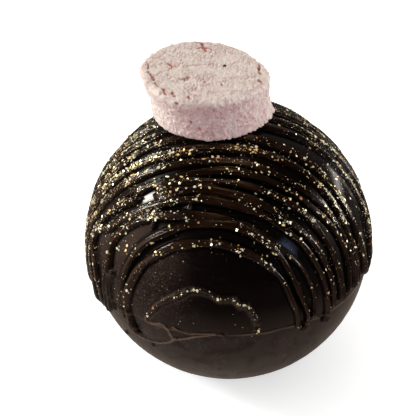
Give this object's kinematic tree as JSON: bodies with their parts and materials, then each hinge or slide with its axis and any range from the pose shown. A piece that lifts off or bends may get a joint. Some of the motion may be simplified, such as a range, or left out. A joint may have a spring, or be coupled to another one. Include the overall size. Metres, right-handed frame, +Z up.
{
  "type": "hot chocolate sphere",
  "caption": "Dark chocolate sphere of two joined half shells, with piped chocolate drizzle over its upper half, gold flakes and a slice of pink marshmallow on top.",
  "frame": {"origin": "middle of the small flat spot that the sphere rests on", "axes": "+Z up through the marshmallow slice, -Y towards the bare front of the sphere, +X to the right as seen from the front; the drizzle runs along X"},
  "size_m": [0.0663, 0.0654, 0.075],
  "materials": {
    "dark_chocolate": "set dark chocolate, glossy, with a soft bloom",
    "pink_marshmallow": "powdery dusty pink marshmallow",
    "gold_flakes": "fine edible gold flakes"
  },
  "bodies": {
    "root": {"chocolate_sphere": "dark_chocolate", "marshmallow_slice": "pink_marshmallow"}
  },
  "joints": []
}
